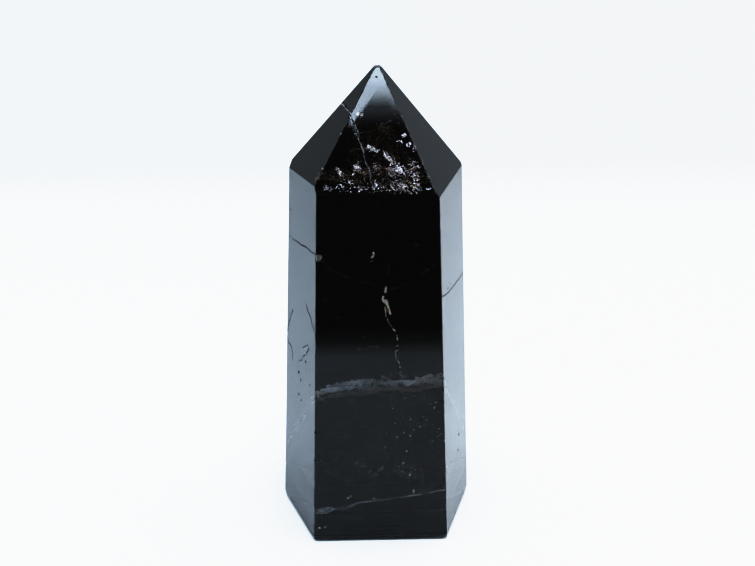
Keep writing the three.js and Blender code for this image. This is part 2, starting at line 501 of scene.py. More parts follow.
def new_material(name):
    """A material with only a principled shader and its output, and the place that its patterns read."""
    material = bpy.data.materials.new(name)
    material.use_nodes = True
    tree = material.node_tree
    place = tree.nodes.new("ShaderNodeTexCoord").outputs["Object"]
    return material, tree, place, tree.nodes["Principled BSDF"]


def morion_material(settings):
    """Polished smoky quartz: clear but so dark that light is lost within some millimetres, with the fine
    upright marks of the polishing wheel."""
    material, tree, place, shader = new_material("morion_quartz")
    link = tree.links.new
    upright = tree.nodes.new("ShaderNodeMapping")
    upright.inputs["Scale"].default_value = (1.0, 1.0, 0.04)
    link(place, upright.inputs["Vector"])
    marks = speckle(tree, upright.outputs["Vector"], 5200.0, 3.0)
    polish = fade(tree, marks, 0.55, 0.8, settings.roughness, settings.mark_roughness, "LINEAR")
    _x, y, z = split(tree, place)

    # At the front, the line where the rounded base begins is ground matt
    height = calculate(tree, "DIVIDE", z, 2.0 * settings.ground_line)
    line = ramp(tree, height, ((0.4, grey(0.0)), (0.5, grey(settings.ground_roughness)), (0.6, grey(0.0))))
    front = calculate(tree, "LESS_THAN", y, settings.ground_back)
    ground = times(tree, line, front)
    link(calculate(tree, "MAXIMUM", polish, ground), shader.inputs["Roughness"])

    # The marks have relief below the shoulder only
    below = fade(tree, z, settings.shoulder - MARK_FADE, settings.shoulder, 1.0, 0.0, "LINEAR")
    bump = tree.nodes.new("ShaderNodeBump")
    bump.inputs["Strength"].default_value = settings.mark_strength
    bump.inputs["Distance"].default_value = settings.mark_depth
    link(times(tree, marks, below), bump.inputs["Height"])
    link(bump.outputs["Normal"], shader.inputs["Normal"])

    shader.inputs["Base Color"].default_value = (1.0, 1.0, 1.0, 1.0)
    shader.inputs["Transmission Weight"].default_value = 1.0
    shader.inputs["IOR"].default_value = settings.ior
    absorption = tree.nodes.new("ShaderNodeVolumeAbsorption")
    absorption.inputs["Color"].default_value = (*settings.tint, 1.0)
    absorption.inputs["Density"].default_value = settings.density
    link(absorption.outputs["Volume"], tree.nodes["Material Output"].inputs["Volume"])
    return material


def flake_material(name, colours, scale, roughness, metallic):
    """Bright inner crack surfaces, uneven in colour from one flake to the next."""
    material, tree, place, shader = new_material(name)
    step = 0.4 / (len(colours) - 1)
    stops = [(0.3 + step * i, colour) for i, colour in enumerate(colours)]
    tree.links.new(ramp(tree, speckle(tree, place, scale), stops), shader.inputs["Base Color"])
    shader.inputs["Roughness"].default_value = roughness
    shader.inputs["Metallic"].default_value = metallic
    return material


# Settings

class CrystalSettings(bpy.types.PropertyGroup):
    """The quartz itself."""

    ior: FloatProperty(name="IOR", description="Refractive index of quartz", default=1.544)
    tint: FloatVectorProperty(
        name="Tint", description="Colour that the quartz lets through best",
        subtype="COLOR", default=(0.36, 0.25, 0.15),
    )
    density: FloatProperty(
        name="Darkness", description="How fast light is lost in the quartz", default=520.0
    )
    roughness: FloatProperty(name="Roughness", description="Roughness of the polish", default=0.006)
    mark_roughness: FloatProperty(
        name="Mark roughness", description="Roughness in polishing marks", default=0.05
    )
    mark_strength: FloatProperty(
        name="Mark strength", description="Relief of the polishing marks", default=0.2
    )
    mark_depth: FloatProperty(
        name="Mark depth", description="Depth of the polishing marks",
        default=0.00002, unit="LENGTH", precision=6,
    )
    shoulder: FloatProperty(
        name="Shoulder", description="Height where the marks end",
        default=0.069, unit="LENGTH", precision=4,
    )
    ground_line: FloatProperty(
        name="Ground line", description="Height of the matt line where the rounded base begins",
        default=0.00115, unit="LENGTH", precision=5,
    )
    ground_roughness: FloatProperty(
        name="Ground roughness", description="Roughness of that line", default=0.55
    )
    ground_back: FloatProperty(
        name="Ground back", description="How far back that line reaches",
        default=-0.0145, unit="LENGTH", precision=4,
    )


class VeilSettings(bpy.types.PropertyGroup):
    """The two healed fractures low in the crystal."""

    colour: FloatVectorProperty(
        name="Colour", description="Pale colour of the veils", subtype="COLOR", default=(0.76, 0.85, 0.97)
    )
    speck_size: FloatProperty(
        name="Speck size", description="Radius of the largest specks",
        default=0.00007, unit="LENGTH", precision=6,
    )
    specks: FloatProperty(
        name="Specks", description="Specks per square metre where thickest", default=900e6
    )
    seed: IntProperty(name="Seed", description="Changes where the specks lie", default=4)


class CrackSettings(bpy.types.PropertyGroup):
    """The fine cracks under the front and in the tip."""

    colour: FloatVectorProperty(
        name="Colour", description="Colour of the crack walls", subtype="COLOR", default=(0.75, 0.85, 1.0)
    )
    stain: FloatVectorProperty(
        name="Stain", description="Golden iron stain in the main crack",
        subtype="COLOR", default=(0.85, 0.52, 0.16),
    )
    flake_size: FloatProperty(
        name="Flake size", description="Radius of the largest flakes",
        default=0.00011, unit="LENGTH", precision=6,
    )
    seed: IntProperty(name="Seed", description="Changes where the flakes lie", default=11)


class GlintSettings(bpy.types.PropertyGroup):
    """The glinting flakes under the top's faces and the specks low in the body."""

    flake_size: FloatProperty(
        name="Flake size", description="Radius of the largest flakes",
        default=0.00024, unit="LENGTH", precision=6,
    )
    tilt: FloatProperty(
        name="Tilt", description="How unevenly the flakes lie", default=0.25, subtype="ANGLE"
    )
    seed: IntProperty(name="Seed", description="Changes where the flakes lie", default=21)


class StageSettings(bpy.types.PropertyGroup):
    """The floor, the light and the camera."""

    floor_colour: FloatVectorProperty(
        name="Floor", description="Colour of the floor", subtype="COLOR", default=(0.665, 0.685, 0.7)
    )
    # Painted light: the floor's right side is tinted warmer, as warmer light falling there
    floor_right_painted_light: FloatVectorProperty(
        name="Floor right", description="Colour of the floor on the right",
        subtype="COLOR", default=(0.68, 0.67, 0.66),
    )
    # Painted shade: in the crystal's reflections the floor is painted black beyond this edge, where the
    # photographer stands
    front_edge: FloatProperty(
        name="Front edge", description="Where the floor that the crystal mirrors ends",
        default=-0.1, unit="LENGTH", precision=4,
    )
    # Painted shade: beyond the seam the floor is painted darker, down to the seam shade
    seam: FloatProperty(
        name="Seam", description="How far behind the crystal the floor turns darker",
        default=0.148, unit="LENGTH",
    )
    seam_painted_shade: FloatProperty(
        name="Seam shade", description="How bright the floor is there", default=0.62
    )
    light_colour: FloatVectorProperty(
        name="Light", description="Colour of the daylight",
        subtype="COLOR", default=(0.87, 0.95, 1.03), max=2.0,
    )
    panel_colour: FloatVectorProperty(
        name="Panel", description="Colour of the overhead panel",
        subtype="COLOR", default=(0.8, 0.91, 1.03), max=2.0,
    )
    overhead: FloatProperty(name="Overhead", description="Brightness of the overhead panel", default=7.2)
    surroundings: FloatProperty(name="Surroundings", description="Brightness of the room", default=0.46)
    sky: FloatProperty(
        name="Sky", description="Brightness of the daylight from above and behind", default=0.75
    )
    window: FloatProperty(
        name="Window", description="Brightness of the light behind the camera", default=0.3
    )
    focal_length: FloatProperty(
        name="Lens", description="Focal length in millimetres on a 36 mm sensor",
        default=80.0, unit="CAMERA",
    )
    camera_place: FloatVectorProperty(
        name="Camera", description="Where the camera stands",
        subtype="TRANSLATION", default=(-0.00877, -0.27702, 0.1868),
    )
    camera_pitch: FloatProperty(
        name="Pitch", description="How far the camera looks down",
        subtype="ANGLE", default=math.radians(26.89),
    )
    camera_turn: FloatProperty(
        name="Turn", description="How far the camera looks to the right",
        subtype="ANGLE", default=math.radians(1.863),
    )


class QuartzPointSettings(bpy.types.PropertyGroup):
    """All settings of the quartz point."""

    crystal: PointerProperty(type=CrystalSettings)
    veils: PointerProperty(type=VeilSettings)
    cracks: PointerProperty(type=CrackSettings)
    glints: PointerProperty(type=GlintSettings)
    stage: PointerProperty(type=StageSettings)


# Operators

def crystal_faces():
    return CrystalFaces(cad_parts[CRYSTAL_NODE])


class QUARTZ_OT_crystal(bpy.types.Operator):
    """Gives the crystal its dark see-through quartz"""

    bl_idname = "quartz.crystal"
    bl_label = "Finish Crystal"

    def execute(self, context):
        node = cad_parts[CRYSTAL_NODE]
        node.data.materials.clear()
        node.data.materials.append(morion_material(context.scene.quartz_point.crystal))
        return {"FINISHED"}


class QUARTZ_OT_veils(bpy.types.Operator):
    """Adds the two pale veils low in the crystal"""

    bl_idname = "quartz.veils"
    bl_label = "Add Veils"

    AROUND = ("left", "right", "back_left", "back", "back_right")
    # Height in millimetres where each veil meets the middle of the front, its normal, and its waviness
    UPPER_PLANE = (34.1, (-0.057, 0.78, 0.62), 0.35)
    LOWER_PLANE = (8.9, (-0.19, -0.18, 0.96), 0.2)
    # Where the lower veil comes out of the front as a line: millimetres across the front and above the base
    LOWER_LINE = [(-11.8, 6.3), (-7.0, 7.5), (-3.5, 8.6), (1.0, 9.1), (4.0, 9.5), (7.0, 10.0), (12.3, 11.1)]
    LOWER_STRANDS = [
        [(-11.6, 7.1), (-10.2, 7.4), (-8.8, 7.6)],
        [(-11.4, 6.8), (-9.8, 7.1), (-8.0, 7.4)],
        [(-10.9, 6.1), (-9.6, 6.6), (-8.6, 7.0)],
        [(-6.9, 6.9), (-5.9, 7.3), (-4.6, 8.2)],
    ]
    # The clouds of the upper veil close under the front
    UPPER_CLOUDS = [
        [(-11.2, 32.1), (-9.0, 32.5), (-6.0, 33.1), (-3.0, 33.4)],
        [(-9.5, 33.2), (-6.5, 33.8), (-3.5, 34.0), (-1.0, 34.2)],
        [(-5.0, 34.0), (-2.5, 34.3), (0.5, 34.3)],
        [(-1.0, 33.6), (2.0, 34.0), (5.0, 33.7), (8.0, 34.1), (12.0, 34.6)],
        [(0.5, 34.9), (2.2, 35.2), (3.6, 34.8), (5.0, 34.7)],
        [(6.5, 34.6), (8.8, 34.9), (11.9, 35.1)],
    ]
    # Where the veils show through the side faces
    LEFT_LINES = [
        [(10.5, 31.0), (5.0, 24.0), (0.0, 18.0), (-4.8, 12.5)],
        [(11.4, 7.0), (6.0, 5.2), (0.0, 3.4), (-4.4, 2.2)],
    ]
    RIGHT_LINES = [[(-9.5, 31.5), (-5.0, 26.0), (0.0, 19.8), (4.4, 14.5)]]

    def execute(self, context):
        settings = context.scene.quartz_point.veils
        faces = crystal_faces()
        seed = settings.seed
        pale = (tuple(settings.colour), (0.95, 0.96, 1.0))
        material = flake_material("veil_specks", pale, 900.0, 0.45, 0.0)

        def sheet(plane, step, near, seen, *apart):
            height, normal, waviness = plane
            point = faces.place("front", 0, height)
            normal = Vector(normal).normalized()
            return [fracture_sheet(faces, point, normal, waviness, seed + step, near, seen, *apart)]

        def veil(name, sheets, share, cut, step):
            scatter(
                sheets, name, material, faces,
                density=settings.specks * share, size=settings.speck_size, sides=3, smallest=0.4, tilt=0.8,
                pattern=(480.0, cut, 0.22), stretch=(0.35, 1.0, 1.0), seed=seed + step,
            )

        upper = self.UPPER_PLANE
        lower = self.LOWER_PLANE
        veil("veil_upper_front", sheet(upper, 0, ("front",), 2.6, ("left", "right"), 0.8), 1.0, 0.38, 0)
        veil("veil_upper_around", sheet(upper, 0, self.AROUND, 1.2, ("front",), 1.5), 0.012, 0.4, 0)
        veil("veil_lower_front", sheet(lower, 1, ("front",), 1.6), 0.06, 0.44, 1)
        veil("veil_lower_around", sheet(lower, 1, self.AROUND, 1.2), 0.012, 0.4, 1)
        clouds = [
            crack_strip(faces, "front", line, 0.8, 0.35 + 0.05 * i, seed + i, 0.5)
            for i, line in enumerate(self.UPPER_CLOUDS)
        ]
        veil("veil_upper_clouds", clouds, 0.7, 0.41, 3)
        strands = [crack_strip(faces, "front", self.LOWER_LINE, 0.3, 0.15, seed + 2)]
        strands += [
            crack_strip(faces, "front", line, 0.35, 0.25, seed + 3 + i, 0.3)
            for i, line in enumerate(self.LOWER_STRANDS)
        ]
        veil("veil_lower_line", strands, 0.3, 0.34, 2)
        sides = []
        for face, lines in (("left", self.LEFT_LINES), ("right", self.RIGHT_LINES)):
            sides += [crack_strip(faces, face, line, 0.9, 0.4, seed + 8, 0.2) for line in lines]
        veil("veil_side_lines", sides, 0.05, 0.32, 4)
        return {"FINISHED"}


class QUARTZ_OT_cracks(bpy.types.Operator):
    """Adds the bright walls of the fine cracks under the front and in the tip"""

    bl_idname = "quartz.cracks"
    bl_label = "Add Cracks"

    # Lines on a face: millimetres to the right of its middle and above the base
    TIP_SIDE = [(-2.4, 81.4), (0.3, 81.5), (4.4, 81.6)]
    TIP_WIDE = [(-4.5, 81.5), (-4.2, 80.6), (-3.9, 79.6), (-3.4, 78.5)]
    TIP_THIN = [(-3.4, 78.5), (-2.7, 77.0), (-2.1, 75.1), (-1.6, 74.1), (-1.3, 72.7), (-0.7, 71.1)]
    TIP_BRANCH = [(-3.4, 79.1), (-1.3, 79.4), (0.5, 80.0), (2.6, 80.9)]
    MAIN_STRANDS = [
        [(1.3, 53.2), (1.2, 52.6), (1.1, 52.0)],
        [(0.8, 51.4), (0.7, 50.7), (0.9, 50.3), (1.2, 49.9)],
        [(1.2, 50.7), (1.4, 50.1), (1.6, 49.3), (1.9, 48.5), (2.1, 47.7)],
        [(-0.9, 59.9), (-1.0, 59.2), (-1.3, 58.8)],
    ]
    LOWER_STRANDS = [
        [(1.1, 49.3), (1.1, 48.3), (1.2, 47.3)],
        [(1.4, 46.9), (1.8, 45.9), (2.5, 45.1), (2.9, 44.3)],
        [(3.2, 43.7), (3.2, 42.5)],
        [(3.2, 41.7), (3.2, 41.1)],
        [(3.3, 40.7), (3.0, 39.9), (3.0, 38.7)],
        [(3.4, 38.5), (3.6, 37.8)],
        [(3.8, 37.3), (3.8, 36.9)],
        [(3.8, 36.4), (3.8, 35.8), (4.1, 35.3), (4.5, 34.8)],
        [(-1.3, 58.3), (-1.3, 58.0)],
        [(5.7, 14.8), (5.7, 14.2)],
        [(6.4, 11.2), (6.5, 10.4)],
    ]
    UPPER = [(-0.5, 70.4), (0.1, 66.9), (0.0, 62.9), (1.0, 60.8), (1.9, 58.0), (1.3, 53.4)]
    ARC = [
        (-10.2, 58.5), (-8.6, 56.6), (-5.1, 54.6), (-1.3, 53.6),
        (2.8, 52.5), (5.4, 53.9), (8.0, 55.6), (10.0, 57.6),
    ]
    SIDE_BRANCH = [(10.8, 50.9), (8.1, 49.9), (5.4, 48.4), (2.4, 46.6)]
    FORK = [
        [(-4.5, 17.4), (-2.8, 16.4), (-1.6, 15.2), (-1.0, 13.9)],
        [(0.9, 16.5), (0.0, 15.4), (-1.0, 13.9)],
        [(2.4, 15.4), (4.2, 15.0), (6.1, 14.4)],
    ]
    RIGHT_WISP = [(11.7, 23.1), (10.6, 22.1), (9.5, 21.3)]
    LOW_WISP = [(-6.0, 4.4), (-3.4, 5.0)]
    DARK_WISPS = [
        [(-6.0, 55.2), (-4.6, 54.8)],
        [(-9.8, 50.7), (-8.2, 50.9)],
        [(-6.0, 50.9), (-4.9, 51.3), (-3.6, 51.0)],
        [(-8.0, 46.9), (-6.6, 47.3)],
        [(6.0, 61.2), (6.9, 60.8)],
        [(-3.2, 43.4), (-2.4, 43.0)],
        [(-3.8, 40.9), (-2.4, 40.6), (-1.2, 41.2), (0.2, 41.0)],
    ]
    STAIN = ((1.4, 49.4), (0.45, 1.2), 0.25)
    EDGE_CHIP = ((-10.3, 58.9), (0.75, 0.6), 0.1)

    def execute(self, context):
        settings = context.scene.quartz_point.cracks
        faces = crystal_faces()
        seed = settings.seed
        size = settings.flake_size
        pale = flake_material("crack_walls", (tuple(settings.colour), (0.95, 0.97, 1.0)), 1500.0, 0.3, 0.5)
        warm = ((1.0, 0.98, 0.95), (1.0, 0.93, 0.82))
        bright = flake_material("main_crack_walls", warm, 1500.0, 0.3, 0.5)
        wisp = flake_material("faint_walls", ((0.72, 0.78, 0.86), (0.95, 0.95, 0.95)), 1500.0, 0.45, 0.0)
        golden = flake_material("iron_stain", (tuple(settings.stain), (0.9, 0.7, 0.4)), 1800.0, 0.35, 0.4)

        def strips(face, lines, width, depth):
            return [crack_strip(faces, face, line, width, depth, seed + i) for i, line in enumerate(lines)]

        def strands(face, line, width, spread, depth):
            shifts = (-spread, 0.0, spread)
            lines = [[(across + shift, height) for across, height in line] for shift in shifts]
            return strips(face, lines, width, depth)

        def add(name, sheets, material, density, share, tilt, pattern, step, lean=UNDER_FRONT, sides=5):
            scatter(
                sheets, name, material, faces, density, size * share, tilt, pattern, seed + step,
                sides=sides, smallest=0.35, lean=lean,
            )

        tip = strands("top_front", self.TIP_WIDE, 0.14, 0.26, 0.2)
        tip += strips("top_left", [self.TIP_SIDE], 0.22, 0.15)
        add("crack_tip", tip, pale, 90e6, 0.8, 0.5, (900.0, 0.36, 0.15), 0, UNDER_TOP)
        thin = strips("top_front", [self.TIP_THIN], 0.24, 0.2)
        add("crack_tip_lower", thin, pale, 190e6, 0.7, 0.6, (700.0, 0.34, 0.25), 1, UNDER_TOP)
        main_strips = strips("front", self.MAIN_STRANDS, 0.34, 0.15)
        add("crack_main", main_strips, bright, 250e6, 1.0, 0.3, (900.0, 0.3, 0.1), 2)
        beads = strips("front", self.LOWER_STRANDS, 0.26, 0.2)
        add("crack_beaded", beads, bright, 200e6, 0.8, 0.45, (1100.0, 0.36, 0.12), 3)
        faint = strips("top_front", [self.TIP_BRANCH], 0.2, 0.5)
        faint += strips("front", [self.UPPER, self.SIDE_BRANCH, self.LOW_WISP], 0.2, 0.5)
        faint += strips("front", [self.ARC, self.RIGHT_WISP], 0.5, 0.7)
        faint += strips("front", self.FORK, 0.8, 0.3)
        faint += strips("front", self.DARK_WISPS, 0.6, 0.8)
        add("crack_faint", faint, wisp, 150e6, 0.6, 0.8, (700.0, 0.4, 0.3), 4, sides=3)
        stain = [cluster_patch(faces, "front", *self.STAIN, seed)]
        add("crack_stained", stain, golden, 160e6, 0.7, 0.4, (1200.0, 0.4, 0.15), 5)
        chip = [cluster_patch(faces, "front", *self.EDGE_CHIP, seed + 1)]
        add("chip_white", chip, bright, 200e6, 1.0, 0.6, (900.0, 0.35, 0.15), 6)
        return {"FINISHED"}


class QUARTZ_OT_glints(bpy.types.Operator):
    """Adds the glinting flakes under the top and the scattered specks in the body"""

    bl_idname = "quartz.glints"
    bl_label = "Add Glints"

    # Middle on the face, half width and half height, and depth, in millimetres
    BRIGHT_CLUSTERS = [
        ((4.5, 78.7), (0.35, 0.25), 0.4),
        ((3.7, 77.9), (0.7, 0.15), 0.5),
        ((5.2, 77.5), (0.6, 0.3), 0.5),
        ((6.2, 76.9), (0.3, 0.4), 0.5),
        ((-0.5, 72.2), (0.4, 0.6), 0.4),
        ((3.4, 74.2), (0.8, 0.5), 0.5),
    ]
    BRIGHT_STREAKS = [
        [(-1.9, 77.3), (-0.8, 76.8), (0.2, 76.5)],
        [(0.7, 76.4), (1.7, 75.9), (2.7, 75.3)],
        [(-7.3, 74.5), (-6.6, 74.0), (-5.9, 73.5)],
        [(-4.4, 74.2), (-3.7, 74.6), (-3.1, 75.0)],
        [(-3.6, 74.0), (-2.9, 74.3)],
    ]
    WHITE_STREAKS = [
        [(-3.6, 81.6), (-2.9, 81.7), (-2.4, 81.6)],
        [(4.3, 78.7), (4.8, 78.7)],
        [(-1.8, 77.2), (-0.6, 76.7), (0.0, 76.5)],
        [(0.9, 76.3), (1.6, 75.9), (2.4, 75.5)],
        [(-6.9, 74.3), (-6.4, 73.8)],
    ]
    FINE_CLUSTERS = [
        ((3.6, 74.1), (1.6, 1.0), 0.5),
        ((6.3, 74.2), (1.0, 1.4), 0.5),
        ((5.3, 71.9), (2.2, 0.9), 0.5),
        ((-4.7, 72.6), (0.5, 0.3), 0.4),
        ((-6.6, 72.0), (0.6, 0.3), 0.4),
        ((-9.2, 71.9), (0.8, 0.5), 0.4),
        ((-3.0, 71.6), (0.8, 0.4), 0.4),
        ((2.8, 72.0), (0.9, 0.7), 0.5),
        ((8.6, 72.0), (0.8, 0.7), 0.4),
        ((-0.2, 74.6), (0.8, 0.8), 0.7),
    ]
    LEFT_SPARKLES = [
        ((6.0, 73.7), (0.3, 0.15), 0.3),
        ((8.7, 74.2), (0.25, 0.15), 0.3),
        ((10.7, 75.1), (0.3, 0.2), 0.3),
        ((12.2, 73.9), (0.3, 0.15), 0.3),
        ((10.8, 72.8), (0.3, 0.15), 0.3),
        ((13.0, 72.8), (0.4, 0.2), 0.3),
    ]
    SHOULDER = [
        ((0.0, 71.5), (10.0, 0.5), 0.4),
        ((1.0, 73.0), (8.0, 1.6), 0.8),
    ]
    BROWN_MOTTLE = [
        ((0.0, 75.5), (7.0, 4.5), 0.6),
        ((1.5, 79.4), (1.2, 1.0), 0.4),
        ((3.9, 75.4), (1.4, 0.6), 0.5),
        ((-2.0, 73.0), (8.0, 2.0), 0.8),
    ]
    GOLDEN_CLUSTERS = [
        ((-6.9, 73.8), (0.7, 0.5), 0.5),
        ((-3.5, 74.3), (0.6, 0.4), 0.6),
        ((2.6, 75.2), (0.6, 0.4), 0.7),
        ((5.2, 72.0), (1.6, 0.7), 0.6),
    ]
    BODY_STARS = [
        ((7.5, 24.7), (0.25, 0.1), 0.2),
        ((8.7, 26.0), (0.14, 0.14), 0.3),
        ((5.8, 26.2), (0.12, 0.12), 0.3),
        ((3.3, 22.5), (0.12, 0.18), 0.3),
        ((4.6, 23.5), (0.12, 0.12), 0.3),
        ((5.7, 22.8), (0.14, 0.14), 0.3),
        ((9.3, 29.3), (0.2, 0.12), 0.3),
        ((10.3, 29.7), (0.25, 0.12), 0.3),
        ((10.1, 28.6), (0.14, 0.14), 0.3),
        ((8.1, 34.9), (0.2, 0.1), 0.2),
        ((4.7, 30.8), (0.12, 0.14), 0.3),
        ((5.1, 19.5), (0.12, 0.15), 0.3),
        ((4.5, 17.0), (0.2, 0.12), 0.3),
        ((-0.8, 9.4), (0.3, 0.12), 0.2),
        ((-5.8, 9.6), (0.3, 0.12), 0.2),
        ((-5.2, 10.0), (0.25, 0.1), 0.2),
        ((-11.2, 3.1), (0.2, 0.12), 0.2),
        ((-10.1, 3.2), (0.3, 0.14), 0.25),
        ((-11.0, 31.4), (0.25, 0.14), 0.3),
    ]
    BODY_DUST = [
        ((5.8, 23.5), (5.5, 8.0), 0.3),
        ((-10.4, 30.5), (1.4, 2.0), 0.3),
        ((-10.4, 3.4), (1.2, 0.8), 0.25),
        ((4.0, 13.0), (5.0, 4.0), 0.4),
        ((-10.5, 17.0), (1.4, 4.0), 0.4),
    ]
    BODY_HAZE = [
        ((0.0, 20.0), (10.5, 11.0), 0.9),
        ((-0.5, 16.8), (5.0, 4.0), 0.6),
        ((5.0, 12.0), (5.0, 2.5), 0.7),
        ((2.0, 30.5), (8.0, 2.0), 0.8),
    ]

    def execute(self, context):
        settings = context.scene.quartz_point.glints
        faces = crystal_faces()
        seed = settings.seed
        size = settings.flake_size
        silver = flake_material(
            "glint_flakes", ((1.0, 1.0, 1.0), (0.84, 0.83, 0.97), (1.0, 0.93, 0.82)), 700.0, 0.22, 0.7
        )
        white = flake_material("white_flakes", ((0.95, 0.97, 1.0), (1.0, 0.97, 0.92)), 900.0, 0.3, 0.2)
        golden = flake_material("golden_flakes", ((0.95, 0.78, 0.45), (0.8, 0.55, 0.25)), 700.0, 0.25, 0.7)
        brown = flake_material("brown_mottle", ((0.5, 0.38, 0.28), (0.85, 0.74, 0.62)), 500.0, 0.5, 0.0)

        def patches(face, places):
            return [cluster_patch(faces, face, *place, seed + i) for i, place in enumerate(places)]

        def streaks(face, lines, width, depth):
            return [
                crack_strip(faces, face, line, width, depth, seed + i, 0.3) for i, line in enumerate(lines)
            ]

        def add(name, sheets, material, density, share, smallest, tilt, pattern, step, lean, sides=5):
            scatter(
                sheets, name, material, faces, density, size * share, tilt, pattern, seed + step,
                sides=sides, smallest=smallest, lean=lean,
            )

        bright = patches("top_front", self.BRIGHT_CLUSTERS)
        bright += streaks("top_front", self.BRIGHT_STREAKS, 0.7, 0.5)
        tilt = settings.tilt
        add("glints_bright", bright, silver, 45e6, 0.55, 0.2, tilt, (1100.0, 0.36, 0.1), 0, UNDER_TOP)
        pale = streaks("top_front", self.WHITE_STREAKS, 0.4, 0.35)
        add("glints_white", pale, white, 80e6, 0.45, 0.3, 0.25, (1300.0, 0.4, 0.1), 7, UNDER_TOP)
        fine = patches("top_front", self.FINE_CLUSTERS)
        add("glints_fine", fine, silver, 22e6, 0.6, 0.25, 0.25, (900.0, 0.43, 0.1), 1, UNDER_TOP)
        shoulder = patches("top_front", self.SHOULDER)
        add("glints_shoulder", shoulder, silver, 9e6, 0.6, 0.25, 0.25, (700.0, 0.45, 0.1), 2, UNDER_TOP)
        left = patches("top_left", self.LEFT_SPARKLES)
        add("glints_left", left, white, 60e6, 0.6, 0.25, 0.5, (300.0, 0.2, 0.1), 9, UNDER_TOP)
        gold = patches("top_front", self.GOLDEN_CLUSTERS)
        add("glints_golden", gold, golden, 22e6, 0.5, 0.25, 0.35, (900.0, 0.42, 0.12), 3, UNDER_TOP)
        mottle = patches("top_front", self.BROWN_MOTTLE)
        add("mottle_top", mottle, brown, 60e6, 0.4, 0.3, 0.7, (360.0, 0.45, 0.2), 4, UNDER_TOP, 3)
        stars = patches("front", self.BODY_STARS)
        add("glints_body", stars, white, 260e6, 0.35, 0.3, 0.35, (300.0, 0.2, 0.1), 5, UNDER_FRONT)
        dust = patches("front", self.BODY_DUST)
        add("dust_body", dust, white, 1.0e6, 0.45, 0.25, 0.5, (250.0, 0.44, 0.2), 8, UNDER_FRONT)
        haze = patches("front", self.BODY_HAZE)
        add("haze_body", haze, brown, 70e6, 0.2, 0.3, 0.8, (260.0, 0.44, 0.25), 6, UNDER_FRONT, 3)
        return {"FINISHED"}


class QUARTZ_OT_stage(bpy.types.Operator):
    """Sets the pale floor, the soft daylight and the camera"""

    bl_idname = "quartz.stage"
    bl_label = "Set Stage"

    def execute(self, context):
        settings = context.scene.quartz_point.stage
        add_floor(floor_material(settings))
        context.scene.world = studio_world(settings)
        place_camera(context.scene, settings)
        set_film(context.scene)
        return {"FINISHED"}


# Stage

def add_floor(material, reach=3.0):
    """A level square floor."""
    mesh = bpy.data.meshes.new("floor")
    corners = [(-reach, -reach, 0), (reach, -reach, 0), (reach, reach, 0), (-reach, reach, 0)]
    mesh.from_pydata(corners, [], [(0, 1, 2, 3)])
    mesh.materials.append(material)
    floor = bpy.data.objects.new("floor", mesh)
    bpy.context.scene.collection.objects.link(floor)


def floor_material(settings):
    """Pale matt cloth with a fine even weave. Painted shade makes it a little darker far behind the crystal,
    and painted warmer light tints its right side. In the crystal's reflections it is painted black beyond
    the front edge, as painted shade where the photographer stands; the camera itself sees it pale."""
    material, tree, place, shader = new_material("floor_cloth")
    x, y, _z = split(tree, place)
    # Painted shade: how bright the floor is painted at each distance behind the crystal's middle, black
    # beyond the front edge
    painted_shades = (
        (settings.front_edge - 0.004, 0.0),
        (settings.front_edge + 0.004, 1.0),
        (0.01, 1.0),
        (0.055, 0.94),
        (settings.seam - 0.02, 0.86),
        (settings.seam + 0.02, settings.seam_painted_shade),
        (0.35, settings.seam_painted_shade),
        (0.8, settings.seam_painted_shade * 0.72),
    )
    along = fade(tree, y, -1.0, 1.0, curve="LINEAR")
    painted_fall = ramp(tree, along, [(0.5 + 0.5 * distance, grey(shade)) for distance, shade in painted_shades], "EASE")
    # Painted shade for reflections only: the camera itself sees the floor in front pale, not painted black
    looked_at = tree.nodes.new("ShaderNodeLightPath").outputs["Is Camera Ray"]
    pale = times(tree, calculate(tree, "LESS_THAN", y, 0.0), looked_at)
    shown = calculate(tree, "MAXIMUM", painted_fall, pale)
    woven = fade(tree, speckle(tree, place, 900.0), 0.0, 1.0, 0.97, 1.0, "LINEAR")
    level = times(tree, shown, woven)
    # Painted light: the floor is tinted warmer towards the right
    colour = blend(tree, fade(tree, x, -0.01, 0.03), settings.floor_colour, settings.floor_right_painted_light)
    shaded = calculate_vector(tree, "SCALE", colour, level)
    tree.links.new(shaded, shader.inputs["Base Color"])
    shader.inputs["Roughness"].default_value = 0.9
    shader.inputs["Specular IOR Level"].default_value = 0.1
    return material


# Edges of the overhead panel as the crystal mirrors it: sideways and forward for each step up
PANEL_SOFT_EDGE = (-0.4925, -0.463)
PANEL_SOFT_TURN = 0.04
PANEL_SHARP_EDGE = (-0.5234, -0.5184)
PANEL_SHARP_SLANT = 1.38
PANEL_SHARP_FROM = (0.0135, 0.0175)
PANEL_GLOW = (-0.502, -0.484)
PANEL_SIDES = (0.2, 0.32)
PANEL_BACK = (0.0, 0.2)


